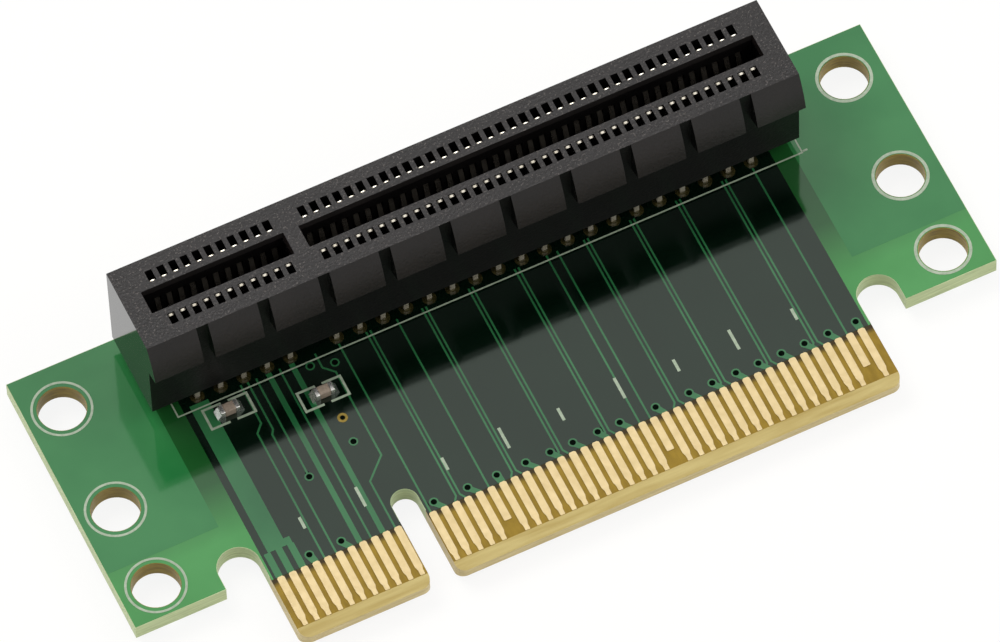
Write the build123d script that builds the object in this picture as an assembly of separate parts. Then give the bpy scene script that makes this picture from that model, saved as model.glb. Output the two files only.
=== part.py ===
# Riser card for an x8 card-edge bus: a circuit board with gold contact pads along one long edge,
# and a slotted socket that stands on its face near the other edge and turns the bus by 90 degrees.
# Millimetres. The origin is the middle of the key notch at the contact edge, in the board's middle
# plane. +X runs along the contacts towards the long section, +Y from the contact edge towards the
# far edge, and +Z out of the socket's mouth.
import os
from math import atan2, degrees

from build123d import *

# Contact layout, shared by the board's edge and the socket
pitch = 1.00
short_count = 11
long_count = 38
key_gap = 3.00  # between the centres of the two contacts beside the key

# Board outline
board_thickness = 1.57
board_height = 30.65  # from the contact edge to the far edge
shoulder_height = 6.53  # from the contact edge to the wings' lower edge
left_wing = 7.74
right_wing = 7.90
side_notch_width = 3.45
side_notch_top = 9.62
key_notch_width = 2.20
key_notch_top = 8.55
key_mouth_radius = 0.80
tab_margin_left = 0.75  # from the outermost contact's centre to the tab's side
tab_margin_right = 0.95
tab_corner_radius = 0.90
bevel_height = 0.95
bevel_depth = 0.35

# Mounting holes, a column of three at each end of the board
mounting_hole_diameter = 3.90
hole_inset_left = 3.01
hole_inset_right = 3.31
lowest_hole_height = 9.25
lower_hole_spacing = 7.50
hole_inset_top = 3.90  # from the board's far edge to the highest hole

# Contact pads on the board's edge
pad_width = 0.61
pad_top = 5.70
pad_bottom = 1.30
short_pad_bottom = 2.40  # the presence-detect pads, which mate last
pad_thickness = 0.05
front_presence_pads = (17, 31, 48)
back_presence_pads = (1,)

# Socket housing
socket_setback = 4.31  # from the board's far edge to the socket's centre line
socket_width = 7.50
socket_height = 11.25
socket_end_margin = 3.00  # from the outermost contact's centre to the housing's end
standoff = 1.50  # from the board to the housing's underside
foot_length = 1.20
foot_inset = 1.20  # from the housing's end, front and back faces to its feet
slot_width = 1.80
slot_depth = 8.05
slot_end_margin = 1.15  # from the outermost contact's centre to the slot's end
key_rib_width = 1.60
lead_in_width = 0.15
lead_in_depth = 0.45
window_width = 0.60
window_inner = 1.60  # from the socket's centre line to the window's near edge
window_length = 1.00
lip_height = 1.45  # of the wedge-shaped bridge between the slot and each window

# Retaining blocks along the housing's front
block_count = 11
block_groove_width = 1.00
block_reach = 1.24  # outwards from the housing's front face
block_tip_drop = 3.35  # from the housing's top face
block_root_drop = 3.75
block_bulge = 0.14

# Socket contacts
contact_width = 0.42
contact_thickness = 0.18
tip_offset = 1.70
tip_gap = 0.15  # from the housing's top face down to the contact's tip
touch_offset = 0.70
touch_drop = 2.95  # from the housing's top face, as is the bend
bend_drop = 6.25
inner_row = 1.25
outer_row = 3.25
jog_start = 2.10
jog_height = 0.75
pin_hole_size = 0.70

# Solder joints on the board's back
joint_base = 1.15
joint_height = 0.90

# Chip capacitors
capacitor_length = 1.60
capacitor_width = 0.85
capacitor_height = 0.80
terminal_length = 0.35
ceramic_inset = 0.03
fillet_length = 0.35
fillet_height = 0.55
fillet_toe = 0.08
left_capacitor_place = (2.68, 20.80)  # from the first contact's centre, and from the contact edge
right_capacitor_place = (9.96, 18.94)

# Places worked out from the sizes above
board_face = board_thickness / 2
short_section = [-key_gap / 2 - pitch * (short_count - 1 - i) for i in range(short_count)]
long_section = [key_gap / 2 + pitch * i for i in range(long_count)]
first_contact = short_section[0]
last_contact = long_section[-1]
tab_left = first_contact - tab_margin_left
tab_right = last_contact + tab_margin_right
board_left = tab_left - side_notch_width - left_wing
board_right = tab_right + side_notch_width + right_wing
socket_y = board_height - socket_setback
socket_left = first_contact - socket_end_margin
socket_right = last_contact + socket_end_margin
socket_front = socket_y - socket_width / 2
socket_back = socket_y + socket_width / 2
socket_top = board_face + socket_height
socket_underside = board_face + standoff
slot_floor = socket_top - slot_depth
window_outer = window_inner + window_length


def box_between(x_range, y_range, z_range):
    """A box from its low and high limit on each axis."""
    spans = [high - low for low, high in (x_range, y_range, z_range)]
    middles = [(low + high) / 2 for low, high in (x_range, y_range, z_range)]
    return Pos(*middles) * Box(*spans)


def prism_along_x(points, x_start, x_end):
    """A prism whose section is drawn in Y and Z and that runs from one X to another."""
    section = Plane.YZ.offset(x_start) * make_face(Polyline(*points, close=True))
    return extrude(section, x_end - x_start)


def copies_along_x(piece, places):
    """Separate copies of a piece drawn at X = 0, kept as one group."""
    return Compound(children=[Pos(x, 0, 0) * piece for x in places])


# Board


def round_topped_notch(x_low, x_high, top):
    radius = (x_high - x_low) / 2
    shaft = Pos((x_low + x_high) / 2, (top - radius) / 2) * Rectangle(x_high - x_low, top - radius)
    return shaft + Pos((x_low + x_high) / 2, top - radius) * Circle(radius)


def key_notch():
    """The notch beside the key, whose mouth is rounded off on both sides."""
    half = key_notch_width / 2
    mouth = Rectangle(key_notch_width + 2 * key_mouth_radius, key_mouth_radius)
    mouth = Pos(0, key_mouth_radius / 2) * mouth
    for side in (-1, 1):
        mouth -= Pos(side * (half + key_mouth_radius), key_mouth_radius) * Circle(key_mouth_radius)
    return round_topped_notch(-half, half, key_notch_top) + mouth


def board_outline():
    wings = Rectangle(board_right - board_left, board_height - shoulder_height)
    wings = Pos((board_left + board_right) / 2, (board_height + shoulder_height) / 2) * wings
    tab = Rectangle(tab_right - tab_left, side_notch_top)
    tab = fillet(tab.vertices().sort_by(Axis.Y)[:2], tab_corner_radius)
    tab = Pos((tab_left + tab_right) / 2, side_notch_top / 2) * tab
    return (
        wings
        + tab
        - round_topped_notch(tab_left - side_notch_width, tab_left, side_notch_top)
        - round_topped_notch(tab_right, tab_right + side_notch_width, side_notch_top)
        - key_notch()
    )


def edge_bevel(face_sign):
    """The wedge that is planed off one face along the contact edge."""
    slope = bevel_depth / bevel_height
    points = [
        (-bevel_height, face_sign * (board_face - 2 * bevel_depth)),
        (2 * bevel_height, face_sign * (board_face + slope * bevel_height)),
        (-bevel_height, face_sign * (board_face + slope * bevel_height)),
    ]
    return prism_along_x(points, tab_left - pitch, tab_right + pitch)


def mounting_hole_places():
    columns = (board_left + hole_inset_left, board_right - hole_inset_right)
    middle = lowest_hole_height + lower_hole_spacing
    rows = (lowest_hole_height, middle, board_height - hole_inset_top)
    return [(x, y) for x in columns for y in rows]


def circuit_board():
    board = extrude(board_outline(), board_face, both=True)
    round_hole = Cylinder(mounting_hole_diameter / 2, 2 * board_thickness)
    holes = [Pos(x, y, 0) * round_hole for x, y in mounting_hole_places()]
    pin_hole = Box(pin_hole_size, pin_hole_size, 2 * board_thickness)
    for side, row, places in contact_rows():
        holes += [Pos(x, socket_y + side * row, 0) * pin_hole for x in places]
    return board - holes - [edge_bevel(1), edge_bevel(-1)]


def pad_row(face_sign, first_number, places, presence_pads):
    """The pads of one section on one face, as thin plates that lie on the board."""
    z_range = sorted((face_sign * board_face, face_sign * (board_face + pad_thickness)))
    pads = []
    for number, x in enumerate(places, start=first_number):
        bottom = short_pad_bottom if number in presence_pads else pad_bottom
        pads.append(box_between((x - pad_width / 2, x + pad_width / 2), (bottom, pad_top), z_range))
    return Compound(children=pads)


# Socket


def contact_rows():
    """Side of the centre line, row distance and X places of the four staggered pin rows."""
    places = short_section + long_section
    inner, outer = places[0::2], places[1::2]
    return [(-1, outer_row, outer), (-1, inner_row, inner), (1, inner_row, inner), (1, outer_row, outer)]


def retaining_ridge():
    """The sloping ridge along the front, before the grooves part it into blocks."""
    tip = (socket_front - block_reach, socket_top - block_tip_drop)
    root = (socket_front, socket_top - block_root_drop)
    top = (socket_front, socket_top)
    bulge = ((tip[0] + top[0]) / 2 - block_bulge, (tip[1] + top[1]) / 2)
    section = make_face([ThreePointArc(top, bulge, tip), Line(tip, root), Line(root, top)])
    return extrude(Plane.YZ.offset(socket_left) * section, socket_right - socket_left)


def ridge_grooves():
    step = (socket_right - socket_left + block_groove_width) / block_count
    y_range = (socket_front - 2 * block_reach, socket_front)
    z_range = (board_face, socket_top + block_reach)
    grooves = []
    for i in range(1, block_count):
        end = socket_left + i * step
        grooves.append(box_between((end - block_groove_width, end), y_range, z_range))
    return grooves


def housing_body():
    across = (socket_front, socket_back)
    body = box_between((socket_left, socket_right), across, (socket_underside, socket_top))
    foot_across = (socket_front + foot_inset, socket_back - foot_inset)
    feet = []
    for foot_left in (socket_left + foot_inset, socket_right - foot_inset - foot_length):
        foot_along = (foot_left, foot_left + foot_length)
        feet.append(box_between(foot_along, foot_across, (board_face, socket_underside)))
    return body + (retaining_ridge() - ridge_grooves()) + feet


def slot_section(x_start, x_end):
    """One section of the slot with the sloping lead-in round its mouth."""
    y_range = (socket_y - slot_width / 2, socket_y + slot_width / 2)
    shaft = box_between((x_start, x_end), y_range, (slot_floor, socket_top))
    throat = Rectangle(x_end - x_start, slot_width)
    throat = Pos((x_start + x_end) / 2, socket_y, socket_top - lead_in_depth) * throat
    lead_in_angle = degrees(atan2(lead_in_width, lead_in_depth))
    return shaft + extrude(throat, lead_in_depth, taper=-lead_in_angle)


def contact_cavities():
    """The cavity of each contact: a window in the top face, and below the lip open to the slot."""
    section = [
        (window_inner, socket_top),
        (window_outer, socket_top),
        (window_outer, socket_underside),
        (slot_width / 2, socket_underside),
        (slot_width / 2, socket_top - lip_height),
    ]
    cavities = []
    for side in (-1, 1):
        points = [(socket_y + side * distance, height) for distance, height in section]
        cavity = prism_along_x(points, -window_width / 2, window_width / 2)
        cavities += [Pos(x, 0, 0) * cavity for x in short_section + long_section]
    return cavities


def socket_housing():
    slots = [
        slot_section(first_contact - slot_end_margin, -key_rib_width / 2),
        slot_section(key_rib_width / 2, last_contact + slot_end_margin),
    ]
    return housing_body() - slots - contact_cavities()


def socket_contact(side, row):
    """A sprung strip: tip under its window, touch point in the slot, and a pin through the board."""
    path = [
        (tip_offset, socket_height - tip_gap),
        (touch_offset, socket_height - touch_drop),
    ]
    if row == outer_row:
        path += [(jog_start, jog_height), (row, jog_height)]
    else:
        path += [(row, socket_height - bend_drop)]
    path += [(row, -board_thickness)]
    points = [(socket_y + side * offset, board_face + height) for offset, height in path]
    strip = trace(Polyline(*points), contact_thickness)
    return extrude(Plane.YZ * strip, contact_width / 2, both=True)


def solder_joint(side, row):
    """The pointed solder that closes a pin hole and covers the pin's end."""
    half = joint_base / 2
    wedge_section = make_face(Polyline((-half, 0), (half, 0), (0, -joint_height), close=True))
    along_y = extrude(Plane.XZ * wedge_section, half, both=True)
    along_x = extrude(Plane.YZ * wedge_section, half, both=True)
    return Pos(0, socket_y + side * row, -board_face) * (along_x & along_y)


# Capacitors


def capacitor_origin(place):
    return Pos(first_contact + place[0], place[1], board_face)


def ceramic_body(place):
    length = capacitor_length - 2 * terminal_length
    width = capacitor_width - 2 * ceramic_inset
    height = capacitor_height - 2 * ceramic_inset
    return capacitor_origin(place) * Pos(0, 0, capacitor_height / 2) * Box(length, width, height)


def terminals(place):
    terminal = Box(terminal_length, capacitor_width, capacitor_height)
    offset_x = (capacitor_length - terminal_length) / 2
    origin = capacitor_origin(place) * Pos(0, 0, capacitor_height / 2)
    return Compound(children=[origin * Pos(sign * offset_x, 0, 0) * terminal for sign in (-1, 1)])


def solder_fillets(place):
    wedges = []
    for sign in (-1, 1):
        inner = sign * capacitor_length / 2
        outer = inner + sign * fillet_length
        points = [(inner, 0), (outer, 0), (outer, fillet_toe), (inner, fillet_height)]
        section = Plane.XZ * make_face(Polyline(*points, close=True))
        wedges.append(capacitor_origin(place) * extrude(section, capacitor_width / 2, both=True))
    return Compound(children=wedges)


# Sub-parts, one file for each


def sub_parts():
    long_first = short_count + 1
    parts = {
        "circuit_board": circuit_board(),
        "front_pads_short_section": pad_row(1, 1, short_section, front_presence_pads),
        "front_pads_long_section": pad_row(1, long_first, long_section, front_presence_pads),
        "back_pads_short_section": pad_row(-1, 1, short_section, back_presence_pads),
        "back_pads_long_section": pad_row(-1, long_first, long_section, back_presence_pads),
        "socket_housing": socket_housing(),
    }
    row_names = ("front_outer", "front_inner", "back_inner", "back_outer")
    for name, (side, row, places) in zip(row_names, contact_rows()):
        parts[name + "_contacts"] = copies_along_x(socket_contact(side, row), places)
        parts[name + "_solder_joints"] = copies_along_x(solder_joint(side, row), places)
    for name, place in (("left", left_capacitor_place), ("right", right_capacitor_place)):
        parts[name + "_capacitor_body"] = ceramic_body(place)
        parts[name + "_capacitor_terminals"] = terminals(place)
        parts[name + "_capacitor_solder"] = solder_fillets(place)
    return parts


os.makedirs("parts", exist_ok=True)
for node, shape in sub_parts().items():
    export_step(shape, "parts/" + node + ".step")
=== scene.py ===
# Looks of the riser card: finishes for its solids, and the print, traces, vias, pads and solder on it.
# Places and heights are in the part's millimetres, and are turned into metres where a mesh is made.
import math
import random

import bmesh
import bpy
from mathutils import Matrix, Vector


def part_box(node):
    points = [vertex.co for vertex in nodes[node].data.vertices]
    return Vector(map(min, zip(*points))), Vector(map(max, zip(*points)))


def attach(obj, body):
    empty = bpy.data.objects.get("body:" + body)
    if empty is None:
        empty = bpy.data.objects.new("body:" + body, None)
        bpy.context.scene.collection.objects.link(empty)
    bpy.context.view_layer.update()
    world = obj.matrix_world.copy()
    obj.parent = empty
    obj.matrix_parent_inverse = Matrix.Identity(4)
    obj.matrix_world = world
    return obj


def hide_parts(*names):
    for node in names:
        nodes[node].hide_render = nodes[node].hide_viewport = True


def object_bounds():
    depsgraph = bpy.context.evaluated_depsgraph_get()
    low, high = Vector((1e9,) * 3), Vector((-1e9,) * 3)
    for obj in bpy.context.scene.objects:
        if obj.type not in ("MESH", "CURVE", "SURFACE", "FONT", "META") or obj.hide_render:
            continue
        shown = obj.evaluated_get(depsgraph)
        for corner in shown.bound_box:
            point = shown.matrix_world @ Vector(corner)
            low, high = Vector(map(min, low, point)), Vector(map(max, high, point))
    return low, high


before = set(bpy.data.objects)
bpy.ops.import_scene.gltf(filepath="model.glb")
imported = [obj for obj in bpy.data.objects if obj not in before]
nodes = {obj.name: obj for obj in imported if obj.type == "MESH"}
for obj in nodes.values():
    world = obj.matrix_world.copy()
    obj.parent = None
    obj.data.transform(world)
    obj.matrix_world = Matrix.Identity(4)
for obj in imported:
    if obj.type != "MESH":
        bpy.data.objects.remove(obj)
cad_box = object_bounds()
MM = 0.001
random.seed(7)

# Places shared with the solids

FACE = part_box("front_pads_long_section")[0][2] / MM  # height of the board's front face
BOARD_LEFT, BOARD_RIGHT, BOARD_FAR = -23.44, 50.80, 30.65
WING_EDGE = 6.53
LEFT_NOTCH, RIGHT_NOTCH = -13.975, 41.175
SIDE_NOTCH_HALF, SIDE_NOTCH_CENTRE = 1.725, 7.895
KEY_HALF, KEY_TOP = 1.10, 8.55
HOLES = [(x, y) for x in (-20.43, 47.49) for y in (9.25, 16.75, 26.75)]
SHORT = [-11.5 + i for i in range(11)]
LONG = [1.5 + i for i in range(38)]
CONTACTS = SHORT + LONG
INNER_PINS, OUTER_PINS = CONTACTS[0::2], CONTACTS[1::2]
SOCKET_Y = 26.34
INNER_ROW, OUTER_ROW = 1.25, 3.25  # distances of the pin rows from the socket's middle
SPRING_TIP, SPRING_BEND = 11.40, 2.20
MASK_EDGE = 5.70  # the mask ends here, at the pads' upper ends
FRONT_SHORT_PADS = (17, 31, 48)
BACK_SHORT_PADS = (1,)

# Heights above the board's face where each film starts and ends

FILM = 0.012
MASK = (0.0, FILM)
FIELD = (FILM, FILM + 0.003)
COPPER = (FILM, FILM + 0.006)
SHADE = (FILM + 0.003, FILM + 0.005)
TRACE = (FILM + 0.004, FILM + 0.016)
FLARE = (FILM + 0.004, FILM + 0.014)
VIA = (FILM + 0.004, FILM + 0.018)
BORE = (FILM + 0.003, FILM + 0.019)
OPEN_BORE = (FILM + 0.003, FILM + 0.007)
BROWNED = (FILM, FILM + 0.014)
PRINT = (FILM + 0.008, 0.030)
PRINT_BAR = (FILM + 0.016, 0.030)
PAD = (0.0, 0.048)


# Colours and node helpers


def linear(r, g, b):
    def one(c):
        c /= 255
        return c / 12.92 if c <= 0.04045 else ((c + 0.055) / 1.055) ** 2.4

    return (one(r), one(g), one(b), 1.0)


class Shader:
    """A principled material and short ways to add nodes to it."""

    def __init__(self, name, base, roughness, metallic=0.0, coat=0.0, ior=1.5):
        self.material = bpy.data.materials.new(name)
        self.material.use_nodes = True
        self.tree = self.material.node_tree
        self.bsdf = self.tree.nodes["Principled BSDF"]
        self.give("Base Color", base)
        self.give("Roughness", roughness)
        self.give("Metallic", metallic)
        self.give("Coat Weight", coat)
        self.give("Coat Roughness", 0.08)
        self.give("IOR", ior)
        self.place = self.node("ShaderNodeTexCoord").outputs["Object"]

    def give(self, name, amount):
        self.bsdf.inputs[name].default_value = amount

    def node(self, kind, **settings):
        made = self.tree.nodes.new(kind)
        for key, value in settings.items():
            setattr(made, key, value)
        return made

    def link(self, out, into):
        self.tree.links.new(out, into)

    def feed(self, socket, value):
        """Sets a constant on a socket, or links an output to it."""
        if isinstance(value, (tuple, int, float)):
            socket.default_value = value
        else:
            self.link(value, socket)

    def math(self, operation, a, b=0.0):
        made = self.node("ShaderNodeMath", operation=operation)
        self.feed(made.inputs[0], a)
        self.feed(made.inputs[1], b)
        return made.outputs[0]

    def mix(self, factor, a, b):
        """A colour mix, whose sockets for the factor and the two colours are 0, 6 and 7."""
        made = self.node("ShaderNodeMix", data_type="RGBA")
        for number, value in ((0, factor), (6, a), (7, b)):
            self.feed(made.inputs[number], value)
        return made.outputs[2]

    def noise(self, scale_per_mm, detail=3.0, stretch=(1, 1, 1)):
        mapping = self.node("ShaderNodeMapping")
        mapping.inputs["Scale"].default_value = stretch
        self.link(self.place, mapping.inputs["Vector"])
        made = self.node("ShaderNodeTexNoise")
        made.inputs["Scale"].default_value = scale_per_mm / MM
        made.inputs["Detail"].default_value = detail
        self.link(mapping.outputs[0], made.inputs["Vector"])
        return made.outputs["Fac"]

    def tones(self, factor, dark, light, low=0.3, high=0.7):
        """Dark below the low factor, light above the high one, and a blend between them."""
        made = self.node("ShaderNodeValToRGB")
        for element, position, colour in zip(made.color_ramp.elements, (low, high), (dark, light)):
            element.position = position
            element.color = colour
        self.link(factor, made.inputs[0])
        return made.outputs[0]

    def span(self, value, low, high, bottom=0.0, top=1.0):
        """Runs from bottom to top while a value goes from low to high."""
        made = self.node("ShaderNodeMapRange")
        names = ("From Min", "From Max", "To Min", "To Max")
        for name, amount in zip(names, (low, high, bottom, top)):
            made.inputs[name].default_value = amount
        self.link(value, made.inputs["Value"])
        return made.outputs[0]

    def parts_of(self, vector):
        made = self.node("ShaderNodeSeparateXYZ")
        self.link(vector, made.inputs[0])
        return made.outputs

    def facing(self):
        return self.parts_of(self.node("ShaderNodeNewGeometry").outputs["Normal"])

    def colour(self, out):
        self.link(out, self.bsdf.inputs["Base Color"])

    def rough(self, factor, low, high):
        self.link(self.span(factor, 0.0, 1.0, low, high), self.bsdf.inputs["Roughness"])

    def bump(self, factor, strength, distance_mm):
        made = self.node("ShaderNodeBump")
        made.inputs["Strength"].default_value = strength
        made.inputs["Distance"].default_value = distance_mm * MM
        self.link(factor, made.inputs["Height"])
        self.link(made.outputs[0], self.bsdf.inputs["Normal"])


# Materials


def varied(name, dark, light, roughness, spread, grain, bump, depth, metallic=0.0, coat=0.0, gloss=0.5):
    """A finish whose colour, roughness and relief all follow one grain."""
    shader = Shader(name, dark, roughness, metallic, coat)
    shader.give("Specular IOR Level", gloss)
    grain_out = shader.noise(grain, 4.0)
    shader.colour(shader.tones(grain_out, dark, light))
    shader.rough(grain_out, roughness - spread, roughness + spread)
    shader.bump(grain_out, bump, depth)
    return shader.material


TAB_TOP = MASK_EDGE + 0.3  # the laminate below this place is the tab's
SHADOW = (MASK_EDGE - 0.75, MASK_EDGE - 0.3)  # a painted shadow: the tab's faces darken towards the mask between these
FLAT, SLOPED = 0.97, 0.5  # least upright part of the normal on the tab's faces and on its bevels
HOLE_REACH = 2.2  # the laminate is brown this near to a mounting hole's middle


def laminate_material():
    """Bare laminate: gold brown on the tab's faces with a painted shadow towards the mask, pale and layered
    on edges, brown in the holes.
    """
    shader = Shader("bare_laminate", linear(178, 148, 62), 0.42)
    shader.give("Specular IOR Level", 0.22)
    x, y = shader.parts_of(shader.place)[:2]
    upright = shader.math("ABSOLUTE", shader.facing()[2])
    on_tab = shader.math("LESS_THAN", y, TAB_TOP * MM)
    on_face = shader.math("MULTIPLY", on_tab, shader.math("GREATER_THAN", upright, FLAT))
    on_bevel = shader.math("MULTIPLY", on_tab, shader.math("GREATER_THAN", upright, SLOPED))
    in_hole = 0.0
    for hole_x, hole_y in HOLES:
        dx = shader.math("ABSOLUTE", shader.math("SUBTRACT", x, hole_x * MM))
        dy = shader.math("ABSOLUTE", shader.math("SUBTRACT", y, hole_y * MM))
        near = shader.math("LESS_THAN", shader.math("MAXIMUM", dx, dy), HOLE_REACH * MM)
        in_hole = shader.math("MAXIMUM", in_hole, near)
    weave = shader.noise(2.2, 3.0, (1.0, 0.35, 1.0))
    layering = shader.noise(3.0, 3.0, (0.1, 0.1, 1.6))
    face = shader.tones(weave, linear(126, 100, 20), linear(146, 118, 32))
    # painted shadow on the tab's faces, darkening under the mask's edge
    painted_shadow_below_mask = shader.span(y, SHADOW[0] * MM, SHADOW[1] * MM, 0.0, 0.92)
    face = shader.mix(painted_shadow_below_mask, face, linear(30, 20, 3))
    streaks = shader.noise(1.2, 3.0, (0.15, 1, 4))
    bevel = shader.tones(streaks, linear(176, 154, 92), linear(198, 180, 120))
    wing_edge = shader.tones(layering, linear(165, 179, 134), linear(195, 209, 162))
    tab_edge = shader.tones(layering, linear(184, 166, 116), linear(206, 190, 144))
    rings = shader.noise(1.6, 3.0, (0.4, 0.4, 3.0))
    hole = shader.tones(rings, linear(118, 98, 26), linear(162, 140, 50))
    edge = shader.mix(in_hole, shader.mix(on_tab, wing_edge, tab_edge), hole)
    shader.colour(shader.mix(on_face, shader.mix(on_bevel, edge, bevel), face))
    shader.rough(weave, 0.34, 0.52)
    shader.bump(shader.noise(6.0, 2.0), 0.25, 0.02)
    return shader.material


PAINTED_SHADE_SPAN = (10.5, 15.5)  # painted shade: the wings' mask darkens towards the socket between these places


def mask_material(name, dark, light, roughness, painted_shade_colour=None):
    """Glossy mask. Given a painted shade colour, it darkens to that towards the socket."""
    shader = Shader(name, dark, roughness, ior=1.68)
    shader.give("Specular Tint", (0.86, 1.0, 0.88, 1.0))
    tone = shader.tones(shader.noise(0.12, 3.0), dark, light, 0.35, 0.65)
    if painted_shade_colour:
        start, end = PAINTED_SHADE_SPAN
        y = shader.parts_of(shader.place)[1]
        # painted shade: the mask darkens towards the socket
        tone = shader.mix(shader.span(y, start * MM, end * MM), tone, painted_shade_colour)
    shader.colour(tone)
    shader.rough(shader.noise(0.9, 4.0), roughness - 0.03, roughness + 0.05)
    shader.bump(shader.noise(0.9, 3.0), 0.05, 0.006)
    return shader.material


UPWARD, RISING, ENDWARD = 0.9, 0.15, 0.9  # least part of the normal on the top, a slope and an end


def housing_material():
    """Black moulding: grainy but for its glossy ends, with pale flecks on top, and walls darker than the top
    and slopes as painted shade.
    """
    shader = Shader("moulded_socket_plastic", linear(30, 27, 27), 0.42)
    normal = shader.facing()
    on_top = shader.math("GREATER_THAN", normal[2], UPWARD)
    on_slope = shader.math("GREATER_THAN", normal[2], RISING)
    on_end = shader.math("GREATER_THAN", shader.math("ABSOLUTE", normal[0]), ENDWARD)
    off_end = shader.math("SUBTRACT", 1.0, on_end)
    broad = shader.noise(0.25, 3.0)
    fine = shader.noise(4.5, 4.0)
    top = shader.tones(broad, linear(16, 13, 12), linear(24, 20, 19))
    # painted shade: the walls are darker than the top and slopes
    shaded_wall = shader.tones(broad, linear(8, 7, 7), linear(14, 12, 12))
    fleck = shader.math("GREATER_THAN", shader.noise(6.0, 1.5), 0.64)
    fleck = shader.math("MULTIPLY", on_top, fleck)
    shader.colour(shader.mix(fleck, shader.mix(on_slope, shaded_wall, top), linear(66, 61, 58)))
    shine = shader.math("ADD", 0.22, shader.math("MULTIPLY", on_slope, 0.11))
    shine = shader.math("ADD", shine, shader.math("MULTIPLY", on_end, 0.06))
    shader.link(shine, shader.bsdf.inputs["Specular IOR Level"])
    grainy = shader.math("MULTIPLY", off_end, shader.span(fine, 0.0, 1.0, 0.30, 0.50))
    polished = shader.math("MULTIPLY", on_end, 0.10)
    shader.link(shader.math("ADD", grainy, polished), shader.bsdf.inputs["Roughness"])
    shader.bump(shader.math("MULTIPLY", off_end, fine), 0.55, 0.05)
    return shader.material


CROWN_HALF = 0.12  # half width of the painted highlight on a spring's tip


def spring_material():
    """Plated springs: dull, with painted highlights at the tips and where the pins enter the board."""
    shader = Shader("socket_spring_metal", linear(110, 98, 78), 0.28, 0.8)
    place = shader.parts_of(shader.place)
    in_pitch = shader.math("FRACT", shader.math("MULTIPLY", place[0], 1 / MM))
    from_middle = shader.math("ABSOLUTE", shader.math("SUBTRACT", in_pitch, 0.5))
    at_crown = shader.math("LESS_THAN", from_middle, CROWN_HALF)
    high_up = shader.math("GREATER_THAN", place[2], SPRING_TIP * MM)
    at_tip = shader.math("MULTIPLY", at_crown, high_up)
    at_pin = shader.math("LESS_THAN", place[2], SPRING_BEND * MM)
    grain = shader.noise(1.2, 4.0)
    dull = shader.tones(grain, linear(96, 90, 82), linear(126, 120, 110))
    # painted highlights on the tips and on the pins below the housing
    painted_highlight = shader.tones(grain, linear(214, 206, 186), linear(240, 234, 218))
    shader.colour(shader.mix(shader.math("MAXIMUM", at_tip, at_pin), dull, painted_highlight))
    shader.rough(grain, 0.20, 0.36)
    shader.bump(grain, 0.04, 0.005)
    return shader.material


laminate = laminate_material()
# the mask on laminate carries a painted shade towards the socket
mask_bright = mask_material("solder_mask_on_laminate", linear(54, 128, 60), linear(68, 142, 74),
                            0.07, painted_shade_colour=linear(26, 78, 34))
mask_copper = mask_material("solder_mask_on_copper", linear(34, 106, 54), linear(48, 118, 64), 0.07)
mask_dark = mask_material("solder_mask_over_dark_laminate", linear(2, 13, 6), linear(6, 21, 12), 0.07)
mask_trace = mask_material("solder_mask_on_trace", linear(34, 94, 54), linear(48, 110, 66), 0.08)
mask_shade = mask_material("solder_mask_at_trace_edge", linear(4, 16, 10), linear(10, 24, 16), 0.08)
print_white = varied("white_print", linear(140, 156, 132), linear(166, 178, 156), 0.55, 0.08,
                     grain=3.0, bump=0.15, depth=0.01)
gold = varied("gold_plate", linear(198, 176, 129), linear(209, 188, 142), 0.36, 0.06,
              grain=1.6, bump=0.05, depth=0.006, metallic=0.55)
spring_metal = spring_material()
solder = varied("bright_solder", linear(196, 196, 192), linear(238, 238, 234), 0.20, 0.08,
                grain=2.0, bump=0.30, depth=0.03, metallic=0.95)
tinned = varied("tinned_terminal", linear(206, 204, 198), linear(234, 232, 226), 0.28, 0.08,
                grain=5.0, bump=0.30, depth=0.02, metallic=0.9)
ceramic = varied("capacitor_ceramic", linear(142, 127, 112), linear(170, 153, 136), 0.42, 0.08,
                 grain=5.0, bump=0.20, depth=0.01)
ring_gold = varied("open_gold_ring", linear(150, 126, 50), linear(184, 158, 80), 0.35, 0.08,
                   grain=4.0, bump=0.12, depth=0.01, metallic=0.7)
flux_brown = varied("flux_browned_ring", linear(38, 36, 18), linear(64, 58, 28), 0.26, 0.08,
                    grain=4.0, bump=0.20, depth=0.01, metallic=0.2, coat=0.3)
# painted shade: dark discs stand for the shade inside the via holes
hole_shade = varied("hole_shade", linear(5, 10, 7), linear(11, 18, 13), 0.60, 0.05,
                   grain=4.0, bump=0.10, depth=0.01, gloss=0.0)
housing_plastic = housing_material()


def paint(node, material):
    data = nodes[node].data
    data.materials.clear()
    data.materials.append(material)


paint("circuit_board", laminate)
paint("socket_housing", housing_plastic)
for row in ("front_outer", "front_inner", "back_inner", "back_outer"):
    paint(row + "_contacts", spring_metal)
    paint(row + "_solder_joints", solder)
for side in ("left", "right"):
    paint(side + "_capacitor_body", ceramic)
    paint(side + "_capacitor_terminals", tinned)
    paint(side + "_capacitor_solder", solder)
for face in ("front", "back"):
    for section in ("short", "long"):
        paint(face + "_pads_" + section + "_section", gold)


# Outlines, films and small meshes


def closed(points):
    """Each point with the one after it, and the last with the first."""
    return list(zip(points, points[1:] + points[:1]))


def circle(x, y, radius, steps):
    turns = [2 * math.pi * i / steps for i in range(steps)]
    return [(x + radius * math.cos(turn), y + radius * math.sin(turn)) for turn in turns]


def rectangle(left, right, low, high):
    return [(left, low), (right, low), (right, high), (left, high)]


def add_piece(name, data):
    piece = bpy.data.objects.new(name, data)
    bpy.context.collection.objects.link(piece)
    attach(piece, "root")
    return piece


MITRE_LIMIT = 0.3  # least cosine of half a corner's turn, so that a sharp one has no spike


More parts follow.
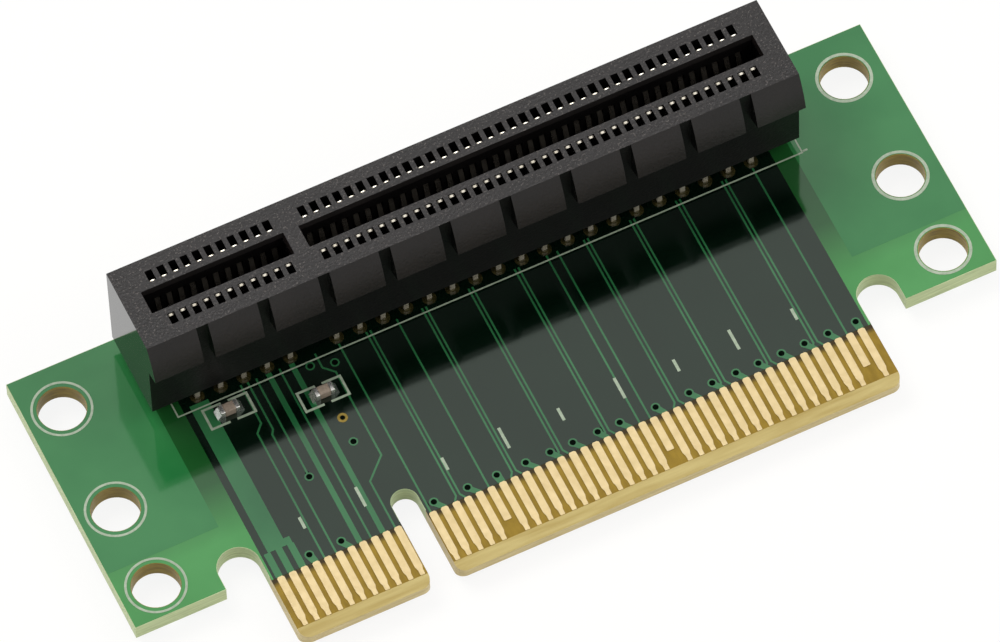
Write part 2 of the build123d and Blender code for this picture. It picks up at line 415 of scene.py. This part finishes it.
class Builder:
    """Collects the faces of one piece, on the board's front (side 1) or back (side -1)."""

    def __init__(self):
        self.mesh = bmesh.new()

    def face(self, points):
        self.mesh.faces.new([self.mesh.verts.new([c * MM for c in point]) for point in points])

    def prism(self, outline, film, side=1):
        """A plate with that outline and the film's two heights: its top and its walls."""
        low, high = (side * (FACE + height) for height in film)
        area = sum(a[0] * b[1] - b[0] * a[1] for a, b in closed(outline))
        if (area > 0) != (side > 0):
            outline = outline[::-1]
        self.face([(x, y, high) for x, y in outline])
        for a, b in closed(outline):
            self.face([(*a, low), (*b, low), (*b, high), (*a, high)])

    def line(self, path, width, film, side=1):
        """A track of that width with mitred corners."""
        points = [Vector(point) for point in path]
        ways = [(b - a).normalized() for a, b in zip(points, points[1:])]
        left, right = [], []
        for point, before, after in zip(points, ways[:1] + ways, ways + ways[-1:]):
            along = (before + after).normalized()
            reach = width / 2 / max(MITRE_LIMIT, along.dot(after))
            across = Vector((-along.y, along.x)) * reach
            left.append(tuple(point + across))
            right.append(tuple(point - across))
        for (a, b), (c, d) in zip(zip(right, right[1:]), zip(left, left[1:])):
            self.prism([a, b, d, c], film, side)

    def ring(self, x, y, radii, film, side=1, steps=28):
        inner, outer = (closed(circle(x, y, radius, steps)) for radius in radii)
        for (a, b), (c, d) in zip(inner, outer):
            self.prism([a, c, d, b], film, side)

    def disc(self, x, y, radius, film, side=1, steps=18):
        self.prism(circle(x, y, radius, steps), film, side)

    def turned(self, x, y, profile, steps=20):
        """A round body about a vertical axis from (radius, z) points, where radius 0 is a tip."""
        rings = []
        for radius, z in profile:
            points = circle(x, y, radius, steps) if radius else [(x, y)]
            rings.append([self.mesh.verts.new((a * MM, b * MM, z * MM)) for a, b in points])
        for a, b in zip(rings, rings[1:]):
            for i in range(steps):
                j = (i + 1) % steps
                corners = [a[i % len(a)], a[j % len(a)], b[j % len(b)], b[i % len(b)]]
                distinct = list(dict.fromkeys(corners))
                if len(distinct) > 2:
                    self.mesh.faces.new(distinct)

    def soft_blocks(self, boxes, radius):
        """Blocks with rounded edges, each given by its lowest and highest corner."""
        for low, high in boxes:
            centre = [(a + b) / 2 * MM for a, b in zip(low, high)]
            size = [(b - a) * MM for a, b in zip(low, high)]
            for vert in bmesh.ops.create_cube(self.mesh, size=1.0)["verts"]:
                vert.co = Vector([c + s * v for c, s, v in zip(centre, size, vert.co)])
        bmesh.ops.bevel(self.mesh, geom=self.mesh.edges[:], offset=radius * MM, segments=3,
                        affect="EDGES", profile=0.5)

    def done(self, name, material, slot, smooth=False):
        bmesh.ops.recalc_face_normals(self.mesh, faces=self.mesh.faces)
        data = bpy.data.meshes.new(name)
        self.mesh.to_mesh(data)
        self.mesh.free()
        data.materials.append(material)
        if smooth:
            for polygon in data.polygons:
                polygon.use_smooth = True
        return add_piece(name, data)


def wide_film(name, side, shapes, openings, material, film):
    """A large film on the board, with openings cut out of its shapes."""
    low, high = film
    curve = bpy.data.curves.new(name, "CURVE")
    curve.dimensions = "2D"
    curve.fill_mode = "BOTH"
    curve.extrude = (high - low) / 2 * MM
    for outline in shapes + openings:
        spline = curve.splines.new("POLY")
        spline.points.add(len(outline) - 1)
        for point, (x, y) in zip(spline.points, outline):
            point.co = (x * MM, y * MM, 0, 1)
        spline.use_cyclic_u = True
    holder = bpy.data.objects.new(name + "_outline", curve)
    bpy.context.collection.objects.link(holder)
    bpy.context.view_layer.update()
    data = bpy.data.meshes.new_from_object(holder.evaluated_get(bpy.context.evaluated_depsgraph_get()))
    bpy.data.objects.remove(holder)
    data.transform(Matrix.Translation((0, 0, side * (FACE + (low + high) / 2) * MM)))
    data.name = name
    data.materials.clear()
    data.materials.append(material)
    return add_piece(name, data)


# Solder mask with the board's notches and openings

INSET = 0.035  # the mask ends this far inside the board's edge
OPENING = 1.985  # radius of the mask's opening round a mounting hole
LEFT, RIGHT, TOP = BOARD_LEFT + INSET, BOARD_RIGHT - INSET, BOARD_FAR - INSET
SHOULDER = WING_EDGE + INSET


def notch(middle, half, centre, left_foot, right_foot, steps=16):
    """The mask's edge round a notch with a round top, from its left foot to its right one."""
    reach = half + INSET
    turns = [math.pi * i / steps for i in range(steps, -1, -1)]
    over = [(middle + reach * math.cos(turn), centre + reach * math.sin(turn)) for turn in turns]
    return [(middle - reach, left_foot)] + over + [(middle + reach, right_foot)]


key_notch = notch(0.0, KEY_HALF, KEY_TOP - KEY_HALF, MASK_EDGE, MASK_EDGE)
mask_outline = [(LEFT, SHOULDER)]
mask_outline += notch(LEFT_NOTCH, SIDE_NOTCH_HALF, SIDE_NOTCH_CENTRE, SHOULDER, MASK_EDGE)
mask_outline += key_notch
mask_outline += notch(RIGHT_NOTCH, SIDE_NOTCH_HALF, SIDE_NOTCH_CENTRE, MASK_EDGE, SHOULDER)
mask_outline += [(RIGHT, SHOULDER), (RIGHT, TOP), (LEFT, TOP)]
hole_openings = [circle(x, y, OPENING, 48) for x, y in HOLES]
for side, name in ((1, "front"), (-1, "back")):
    wide_film(name + "_solder_mask", side, [mask_outline], hole_openings, mask_bright, MASK)

# Copper areas on the wings and the darker field between them, each a slightly higher film of mask

AREA_LOW = 11.8
LEFT_AREA_END, RIGHT_AREA_START = -13.9, 40.8
FIELD_LEFT, FIELD_RIGHT, FIELD_FAR = -12.05, 39.2, 30.4
areas = [rectangle(LEFT, LEFT_AREA_END, AREA_LOW, TOP), rectangle(RIGHT_AREA_START, RIGHT, AREA_LOW, TOP)]
area_openings = [circle(x, y, OPENING, 48) for x, y in HOLES if y > AREA_LOW]
field = [(FIELD_LEFT, MASK_EDGE)] + key_notch
field += [(FIELD_RIGHT, MASK_EDGE), (FIELD_RIGHT, FIELD_FAR), (FIELD_LEFT, FIELD_FAR)]
for side, name in ((1, "front"), (-1, "back")):
    wide_film(name + "_copper_areas", side, areas, area_openings, mask_copper, COPPER)
    wide_film(name + "_dark_field", side, [field], [], mask_dark, FIELD)

# Traces of the front face, as centre lines, that end at the socket

THIN, WIDE = 0.16, 0.46
RIM = 0.16  # how much wider a trace's dark edge is than the trace
END = 22.5
thin = [
    [(-7.70, MASK_EDGE), (-7.70, 18.0), (-7.05, 18.7), (-7.05, END)],
    [(-6.70, MASK_EDGE), (-6.70, 17.4), (-6.45, 17.8), (-6.45, END)],
    [(-5.72, 13.1), (-5.72, END)],
    [(-3.72, MASK_EDGE), (-3.72, END)],
    [(-1.66, MASK_EDGE), (-1.66, 10.25), (0.13, 12.0), (0.13, 20.3), (-0.65, 21.1), (-0.65, END)],
]
for x in (1.40, 6.40, 19.38, 20.30, 37.35):
    thin.append([(x, MASK_EDGE), (x, END)])
PAIR_FOOT, PAIR_HALF, PAIR_BEND = 0.46, 0.17, 0.45
for middle in (3.94, 8.75, 12.78, 16.78, 22.78, 26.80, 30.80, 34.82):
    for sign in (-1, 1):
        foot, x = middle + sign * PAIR_FOOT, middle + sign * PAIR_HALF
        thin.append([(foot, MASK_EDGE), (x, MASK_EDGE + PAIR_BEND), (x, END)])
wide = [[(x, MASK_EDGE), (x, END)] for x in (-4.66, -2.68)]

edges, copper = Builder(), Builder()
for width, paths in ((THIN, thin), (WIDE, wide)):
    for path in paths:
        edges.line(path, width + RIM, SHADE)
        copper.line(path, width, TRACE)

# Broad supply trace beside the short section, with three legs to its pads

LEG_TOP, LEG_HALF = 8.0, 0.28
copper.prism(rectangle(-11.45, -9.85, LEG_TOP, END), TRACE)
copper.prism(rectangle(-9.85, -9.35, LEG_TOP, 8.65), TRACE)
for x in (-11.55, -10.55, -9.55):
    copper.prism(rectangle(x - LEG_HALF, x + LEG_HALF, MASK_EDGE, LEG_TOP), TRACE)

# Vias, tented but for one, and the flares that join those near the tab to their pads

VIA_RING, VIA_SHADE, VIA_BORE = (0.22, 0.38), (0.36, 0.50), 0.25
OPEN_RING, OPEN_RADIUS = (0.21, 0.42), 0.22
OPEN_VIA = (-1.15, 16.35)
short_vias = [-8.65, -5.92]
long_vias = [2.00, 4.90, 7.40, 9.90, 12.00, 13.95, 16.10, 18.00, 21.10,
             24.00, 26.00, 28.05, 30.00, 32.00, 34.00, 36.05, 38.45]
vias = [(x, 6.45) for x in short_vias] + [(x, 6.42) for x in long_vias]
vias += [(-5.72, 12.72), (-1.30, 14.05), (-1.45, 21.65), (0.42, 21.10)]


def nearest_contact(x):
    return min(CONTACTS, key=lambda contact: abs(contact - x))


# the via holes are painted as dark discs of shade
bores = Builder()
for x, y in vias:
    edges.ring(x, y, VIA_SHADE, SHADE)
    copper.ring(x, y, VIA_RING, VIA)
    bores.disc(x, y, VIA_BORE, BORE)
FLARE_TOP, FLARE_HALF, PAD_REACH = 6.30, 0.36, 0.30
LONG_SHIFT = 0.35  # vias of the long section lie left of their pads, so the pad is sought this far right
flares = [(x, nearest_contact(x + LONG_SHIFT)) for x in long_vias]
flares += [(x, nearest_contact(x)) for x in short_vias]
for x, pad in flares:
    copper.prism([(x - FLARE_HALF, FLARE_TOP), (pad - PAD_REACH, MASK_EDGE),
                  (pad + PAD_REACH, MASK_EDGE), (x + FLARE_HALF, FLARE_TOP)], FLARE)
# the open via's hole is painted as a dark disc of shade
bores.disc(*OPEN_VIA, OPEN_RADIUS, OPEN_BORE, steps=24)
edges.done("front_trace_edges", mask_shade, "board")
copper.done("front_traces", mask_trace, "board")
bores.done("via_bores", hole_shade, "board")
open_ring = Builder()
open_ring.ring(*OPEN_VIA, OPEN_RING, VIA)
open_ring.done("open_via_ring", ring_gold, "contact_gold")

# Back face: straight traces from every second contact to the nearest pin row, and the same vias

back_edges, back_copper, back_bores = Builder(), Builder(), Builder()
for x in OUTER_PINS:
    path = [(x, MASK_EDGE), (x, SOCKET_Y - OUTER_ROW)]
    back_edges.line(path, THIN + RIM, SHADE, -1)
    back_copper.line(path, THIN, TRACE, -1)
# the back's via holes are painted as dark discs of shade too
for x, y in vias:
    back_copper.ring(x, y, VIA_RING, VIA, -1)
    back_bores.disc(x, y, VIA_BORE, BORE, -1)
back_edges.done("back_trace_edges", mask_shade, "board")
back_copper.done("back_traces", mask_trace, "board")
back_bores.done("back_via_bores", hole_shade, "board")

# Print, without any lettering

LEFT_RING, RIGHT_RING = (2.27, 2.465), (2.04, 2.29)
SOCKET_LINE, END_TICK = 0.13, 0.17
marks = Builder()
for x, y in HOLES:
    marks.ring(x, y, LEFT_RING if x < 0 else RIGHT_RING, PRINT, steps=72)
marks.line([(-12.61, 23.55), (-12.61, 22.05), (41.50, 22.05), (41.50, 23.40)], SOCKET_LINE, PRINT)
marks.line([(41.60, 22.15), (42.00, 22.15)], END_TICK, PRINT)
FRAME_LINE, FRAME_GAP = 0.20, 0.60
capacitor_frames = ((-10.70, -6.95, 19.88, 21.71), (-3.45, 0.25, 18.05, 19.85))
for left, right, low, high in capacitor_frames:
    middle = (left + right) / 2
    for end, inner in ((left, middle - FRAME_GAP / 2), (right, middle + FRAME_GAP / 2)):
        marks.line([(inner, low), (end, low), (end, high), (inner, high)], FRAME_LINE, PRINT)
BAR_WIDTH = 0.25
bars = ((-7.95, 8.70, 9.80), (-2.90, 8.40, 10.30), (4.22, 8.50, 9.70), (9.33, 8.15, 10.15),
        (14.22, 8.50, 9.70), (19.33, 8.20, 10.20), (24.18, 8.50, 9.65), (29.22, 8.20, 10.15),
        (34.45, 8.60, 9.70))
for x, low, high in bars:
    marks.line([(x, low), (x, high)], BAR_WIDTH, PRINT_BAR)
marks.done("white_print_marks", print_white, "board")


# Pads with tapered tails, standing for the plain ones

PAD_HALF, PAD_CUT, PAD_CORNER, SHORT_PAD_END = 0.305, 0.12, 0.05, 2.45
TAIL_HALF, TAIL_CORNER, TAIL_END = 0.20, 0.04, 0.97
TAPER = (1.78, 1.45)  # where a pad starts and ends narrowing to its tail


def pad_outline(x, tail):
    left, right, shoulder = x - PAD_HALF, x + PAD_HALF, MASK_EDGE - PAD_CUT
    outline = [(right, shoulder), (right - PAD_CUT, MASK_EDGE), (left + PAD_CUT, MASK_EDGE), (left, shoulder)]
    if not tail:
        low = SHORT_PAD_END + PAD_CORNER
        return outline + [(left, low), (left + PAD_CORNER, SHORT_PAD_END),
                          (right - PAD_CORNER, SHORT_PAD_END), (right, low)]
    start, stop = TAPER
    tail_left, tail_right, low = x - TAIL_HALF, x + TAIL_HALF, TAIL_END + TAIL_CORNER
    return outline + [(left, start), (tail_left, stop), (tail_left, low),
                      (tail_left + TAIL_CORNER, TAIL_END), (tail_right - TAIL_CORNER, TAIL_END),
                      (tail_right, low), (tail_right, stop), (right, start)]


for side, face, shorts in ((1, "front", FRONT_SHORT_PADS), (-1, "back", BACK_SHORT_PADS)):
    for section, places, first in (("short", SHORT, 1), ("long", LONG, len(SHORT) + 1)):
        pads = Builder()
        for number, x in enumerate(places, start=first):
            pads.prism(pad_outline(x, number not in shorts), PAD, side)
        piece = pads.done(f"{face}_{section}_gold_pads", gold, "contact_gold")
        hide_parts(f"{face}_pads_{section}_section")

# Solder cones on the back, standing for the pointed ones, as (radius, distance from the face)

FILLET = ((0.57, 0.0), (0.50, 0.10), (0.36, 0.30), (0.26, 0.52))
PIN_TIP = ((0.22, 0.70), (0.20, 0.84), (0.12, 0.89), (0.0, 0.895))
rows = {"front_outer": (-OUTER_ROW, OUTER_PINS), "front_inner": (-INNER_ROW, INNER_PINS),
        "back_inner": (INNER_ROW, INNER_PINS), "back_outer": (OUTER_ROW, OUTER_PINS)}
for row, (offset, places) in rows.items():
    cones = Builder()
    for x in places:
        swell = random.uniform(0.93, 1.0)
        profile = [(radius * swell, -FACE - depth) for radius, depth in FILLET]
        profile += [(radius, -FACE - depth) for radius, depth in PIN_TIP]
        cones.turned(x, SOCKET_Y + offset, profile)
    piece = cones.done(row + "_solder_cones", solder, "solder", smooth=True)
    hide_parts(row + "_solder_joints")

# Browned rings and beads of solder on the front, round the pins that show

BROWN_RING = (0.33, 0.58)
BEAD = ((0.40, 0.012), (0.34, 0.03), (0.26, 0.045), (0.0, 0.05))
browned, beads = Builder(), Builder()
for x in OUTER_PINS:
    browned.ring(x, SOCKET_Y - OUTER_ROW, BROWN_RING, BROWNED)
    profile = [(radius, FACE + height) for radius, height in BEAD]
    beads.turned(x, SOCKET_Y - OUTER_ROW, profile, steps=24)
browned.done("front_solder_rings", flux_brown, "solder")
beads.done("front_solder_beads", flux_brown, "solder", smooth=True)

# Capacitors with rounded edges, standing for the plain blocks

TERMINAL = 0.35  # length of a terminal
for side in ("left", "right"):
    for part, radius, material, slot in (("body", 0.05, ceramic, "capacitor_ceramic"),
                                         ("terminals", 0.07, tinned, "capacitor_terminal")):
        low, high = (Vector(corner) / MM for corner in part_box(f"{side}_capacitor_{part}"))
        boxes = [(low, high)]
        if part == "terminals":
            boxes = [(low, (low.x + TERMINAL, high.y, high.z)), ((high.x - TERMINAL, low.y, low.z), high)]
        blocks = Builder()
        blocks.soft_blocks(boxes, radius)
        piece = blocks.done(f"{side}_rounded_capacitor_{part}", material, slot, smooth=True)
        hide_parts(f"{side}_capacitor_{part}")


# Floor and world, white where the camera sees them


def shows_background(tree):
    """1 for the rays that show the background: from the camera, by a gloss or through glass."""
    rays = tree.nodes.new("ShaderNodeLightPath")
    total = rays.outputs["Is Camera Ray"]
    for name in ("Is Glossy Ray", "Is Transmission Ray"):
        either = tree.nodes.new("ShaderNodeMath")
        either.operation = "MAXIMUM"
        tree.links.new(total, either.inputs[0])
        tree.links.new(rays.outputs[name], either.inputs[1])
        total = either.outputs[0]
    return total


def blend(tree, share, plain, shown, end):
    """Links a mix of two shaders to the tree's end, with that share of the second."""
    mixed = tree.nodes.new("ShaderNodeMixShader")
    tree.links.new(share, mixed.inputs[0])
    tree.links.new(plain.outputs[0], mixed.inputs[1])
    tree.links.new(shown.outputs[0], mixed.inputs[2])
    tree.links.new(mixed.outputs[0], tree.nodes[end].inputs[0])


FLOOR_HALF, FLOOR_GAP = 1.6, 0.00002  # in metres
FLOOR_GLOW = 0.88  # share of plain white in the floor as the camera sees it, the rest keeps the shadow
depth = cad_box[0][2] - FLOOR_GAP
corners = [(x, y, depth) for x, y in rectangle(-FLOOR_HALF, FLOOR_HALF, -FLOOR_HALF, FLOOR_HALF)]
floor_mesh = bpy.data.meshes.new("floor")
floor_mesh.from_pydata(corners, [], [(0, 1, 2, 3)])
floor = bpy.data.objects.new("floor", floor_mesh)
bpy.context.collection.objects.link(floor)
floor_material = bpy.data.materials.new("pale_floor")
floor_material.use_nodes = True
tree = floor_material.node_tree
diffuse = tree.nodes["Principled BSDF"]
diffuse.inputs["Base Color"].default_value = (0.94, 0.91, 0.82, 1)
diffuse.inputs["Roughness"].default_value = 0.9
diffuse.inputs["Specular IOR Level"].default_value = 0.1
glow = tree.nodes.new("ShaderNodeEmission")
share = tree.nodes.new("ShaderNodeMath")
share.operation = "MULTIPLY"
share.inputs[1].default_value = FLOOR_GLOW
tree.links.new(shows_background(tree), share.inputs[0])
blend(tree, share.outputs[0], diffuse, glow, "Material Output")
floor_mesh.materials.append(floor_material)

world = bpy.data.worlds.new("studio")
bpy.context.scene.world = world
world.use_nodes = True
tree = world.node_tree
background = tree.nodes["Background"]
background.inputs["Color"].default_value = (1, 1, 1, 1)
background.inputs["Strength"].default_value = 0.55
backdrop = tree.nodes.new("ShaderNodeBackground")
backdrop.inputs["Color"].default_value = (1, 1, 1, 1)
blend(tree, shows_background(tree), background, backdrop, "World Output")


# Lamps and camera, in metres

BOARD_MIDDLE = Vector((0.0137, 0.0155, 0.0))


def lamp(name, place, size, power):
    """A rectangular lamp that faces the board's middle."""
    data = bpy.data.lights.new(name, "AREA")
    data.shape = "RECTANGLE"
    data.size, data.size_y = size
    data.energy = power
    made = bpy.data.objects.new(name, data)
    made.location = place
    made.rotation_euler = (BOARD_MIDDLE - Vector(place)).to_track_quat("-Z", "Y").to_euler()
    bpy.context.collection.objects.link(made)
    return made


# The housing's left end would mirror the key lamp onto the board, so gloss shows the sheen lamp instead
key = lamp("key_light", (-0.25, 0.45, 0.75), (0.6, 0.5), 5.0)
key.visible_glossy = False
sheen = lamp("sheen_light", (0.0137, 0.73, 0.53), (0.6, 0.5), 5.0)
sheen.visible_diffuse = False
lamp("fill_light", (0.55, -0.25, 0.55), (0.5, 0.5), 2.0)

CAMERA_PLACE = (-0.19039, -0.45565, 0.892745)
CAMERA_RIGHT = Vector((0.9022, -0.4307, -0.0228))
CAMERA_FORWARD = Vector((0.1979, 0.4603, -0.8654))
camera_data = bpy.data.cameras.new("photo_camera")
camera_data.sensor_width = 36.0
camera_data.lens = 475.0
camera_data.clip_start = 0.05
camera_data.clip_end = 10.0
camera = bpy.data.objects.new("photo_camera", camera_data)
forward = CAMERA_FORWARD.normalized()
up = CAMERA_RIGHT.normalized().cross(forward).normalized()
right = forward.cross(up).normalized()
turn = Matrix((right, up, -forward)).transposed().to_4x4()
camera.matrix_world = Matrix.Translation(CAMERA_PLACE) @ turn
bpy.context.collection.objects.link(camera)
bpy.context.scene.camera = camera
bpy.context.scene.view_settings.view_transform = "Standard"
